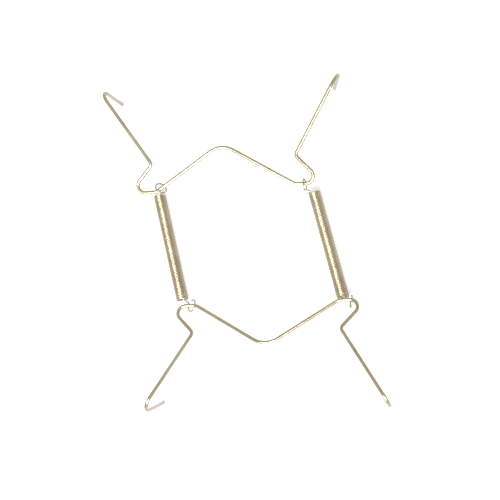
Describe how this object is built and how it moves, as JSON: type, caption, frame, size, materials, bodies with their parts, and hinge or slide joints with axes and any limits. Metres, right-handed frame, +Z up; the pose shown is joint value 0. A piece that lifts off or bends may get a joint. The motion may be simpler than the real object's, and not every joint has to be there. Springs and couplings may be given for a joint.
{
  "type": "wire plate hanger",
  "caption": "Spring wire hanger for a display plate: two bent brass wires with hooks at their ends, linked by two extension springs.",
  "frame": {"origin": "on the table, under the middle of the hanger", "axes": "+Y towards the wire that hangs on the nail, +Z up from the table, away from the side that the hooks point to, +X to the right seen from above"},
  "size_m": [0.1254, 0.144, 0.0182],
  "materials": {
    "frame_wire": "pale brass plated drawn wire, bright with faint draw lines",
    "spring_wire": "pale brass plated fine spring wire, close wound"
  },
  "bodies": {
    "upper_wire": {"upper_wire": "frame_wire"},
    "lower_wire": {"lower_wire": "frame_wire"},
    "left_upper_loop": {"left_upper_loop": "spring_wire"},
    "left_coil_upper": {"left_coil_upper": "spring_wire"},
    "left_coil_lower": {"left_coil_lower": "spring_wire"},
    "left_lower_loop": {"left_lower_loop": "spring_wire"},
    "right_upper_loop": {"right_upper_loop": "spring_wire"},
    "right_coil_upper": {"right_coil_upper": "spring_wire"},
    "right_coil_lower": {"right_coil_lower": "spring_wire"},
    "right_lower_loop": {"right_lower_loop": "spring_wire"}
  },
  "joints": [
    {"name": "upper_fold", "type": "hinge", "parent": "upper_wire", "child": "left_upper_loop", "pos_m": [-0.04063, 0.02579, 0.0066], "axis": [-1, 0, 0], "range_deg": [-45, 90]},
    {"name": "left_swing", "type": "hinge", "parent": "left_upper_loop", "child": "left_coil_upper", "pos_m": [-0.04063, 0.02579, 0.0066], "axis": [0, 0, 1], "range_deg": [-38, 6], "deforming": ["left_upper_loop"]},
    {"name": "stretch", "type": "slide", "parent": "left_coil_upper", "child": "left_coil_lower", "axis": [0.3239, -0.9461, 0], "range_m": [0, 0.06], "stiffness_N_per_m": 210, "springref_m": -0.008},
    {"name": "left_lower_swing", "type": "hinge", "parent": "left_coil_lower", "child": "left_lower_loop", "pos_m": [-0.02297, -0.02579, 0.0066], "axis": [0, 0, 1], "range_deg": [-6, 38], "deforming": ["left_lower_loop"]},
    {"name": "lower_fold", "type": "hinge", "parent": "left_lower_loop", "child": "lower_wire", "pos_m": [-0.02297, -0.02579, 0.0066], "axis": [-1, 0, 0], "range_deg": [-45, 90]},
    {"name": "right_upper_fold", "type": "hinge", "parent": "upper_wire", "child": "right_upper_loop", "pos_m": [0.0279, 0.02579, 0.0066], "axis": [-1, 0, 0], "range_deg": [-45, 90]},
    {"name": "right_swing", "type": "hinge", "parent": "right_upper_loop", "child": "right_coil_upper", "pos_m": [0.0279, 0.02579, 0.0066], "axis": [0, 0, 1], "range_deg": [-38, 6], "deforming": ["right_upper_loop"]},
    {"name": "right_stretch", "type": "slide", "parent": "right_coil_upper", "child": "right_coil_lower", "axis": [0.3239, -0.9461, 0], "range_m": [0, 0.06], "stiffness_N_per_m": 210, "springref_m": -0.008},
    {"name": "right_lower_swing", "type": "hinge", "parent": "right_coil_lower", "child": "right_lower_loop", "pos_m": [0.04556, -0.02579, 0.0066], "axis": [0, 0, 1], "range_deg": [-6, 38], "deforming": ["right_lower_loop"]}
  ],
  "couplings": [
    {"joint": "right_upper_fold", "follows": "upper_fold", "ratio": 1},
    {"joint": "left_lower_swing", "follows": "left_swing", "ratio": -1},
    {"joint": "right_swing", "follows": "left_swing", "ratio": 1},
    {"joint": "right_lower_swing", "follows": "left_swing", "ratio": -1},
    {"joint": "right_stretch", "follows": "stretch", "ratio": 1}
  ]
}
